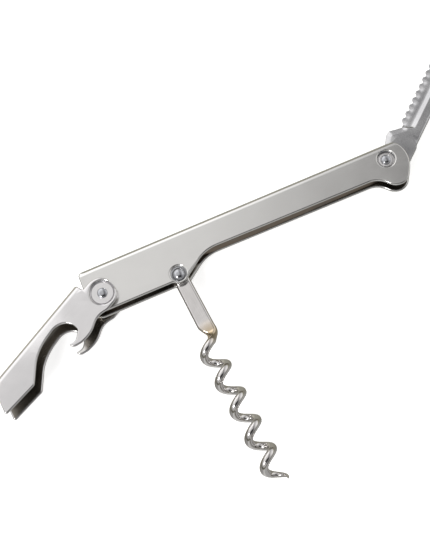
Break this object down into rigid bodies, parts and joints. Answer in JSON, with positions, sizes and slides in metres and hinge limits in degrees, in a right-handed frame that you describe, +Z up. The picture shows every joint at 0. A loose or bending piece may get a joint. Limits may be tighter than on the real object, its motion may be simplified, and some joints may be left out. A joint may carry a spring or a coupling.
{
  "type": "lever corkscrew",
  "caption": "Folding all-steel waiter's corkscrew: channel handle, hinged lever with cap hook, right-hand worm and serrated foil knife.",
  "frame": {"origin": "centre of the base of the open corkscrew's bounding box; it lies on its side, on the lever's lower ear", "axes": "+X along the handle from the lever's end to the knife's end, +Y from the worm's side to the handle's closed spine, +Z up, along the rivets"},
  "size_m": [0.1876, 0.1172, 0.012],
  "materials": {
    "handle_steel": "polished stainless sheet, faint long brush lines",
    "lever_steel": "polished stainless sheet",
    "worm_steel": "bright drawn wire, forged flat at the shank",
    "blade_steel": "ground, satin, polished bevels",
    "rivet_steel": "headed, bright",
    "spring_steel": "tempered spring strip, brown-grey"
  },
  "bodies": {
    "handle": {"handle": "handle_steel", "back_spring": "spring_steel", "lever_spacer_tube": "rivet_steel", "lever_rivet": "rivet_steel", "worm_rivet": "rivet_steel", "knife_rivet": "rivet_steel", "knife_washer_upper": "rivet_steel", "knife_washer_lower": "rivet_steel"},
    "lever": {"lever": "lever_steel", "lever_washer_upper": "rivet_steel", "lever_washer_lower": "rivet_steel"},
    "worm": {"worm": "worm_steel"},
    "knife": {"foil_knife": "blade_steel"}
  },
  "joints": [
    {"name": "lever_pivot", "type": "hinge", "parent": "handle", "child": "lever", "pos_m": [-0.04657, 0.01983, 0.006], "axis": [0, 0, 1], "range_deg": [-12, 149]},
    {"name": "worm_pivot", "type": "hinge", "parent": "handle", "child": "worm", "pos_m": [-0.02127, 0.01643, 0.006], "axis": [0, 0, 1], "range_deg": [-6.9, 85.4]},
    {"name": "knife_pivot", "type": "hinge", "parent": "handle", "child": "knife", "pos_m": [0.05663, 0.02513, 0.006], "axis": [0, 0, 1], "range_deg": [-41, 136.5]}
  ],
  "couplings": [
    {"joint": "worm_pivot", "follows": "lever_pivot", "ratio": 0.573}
  ]
}
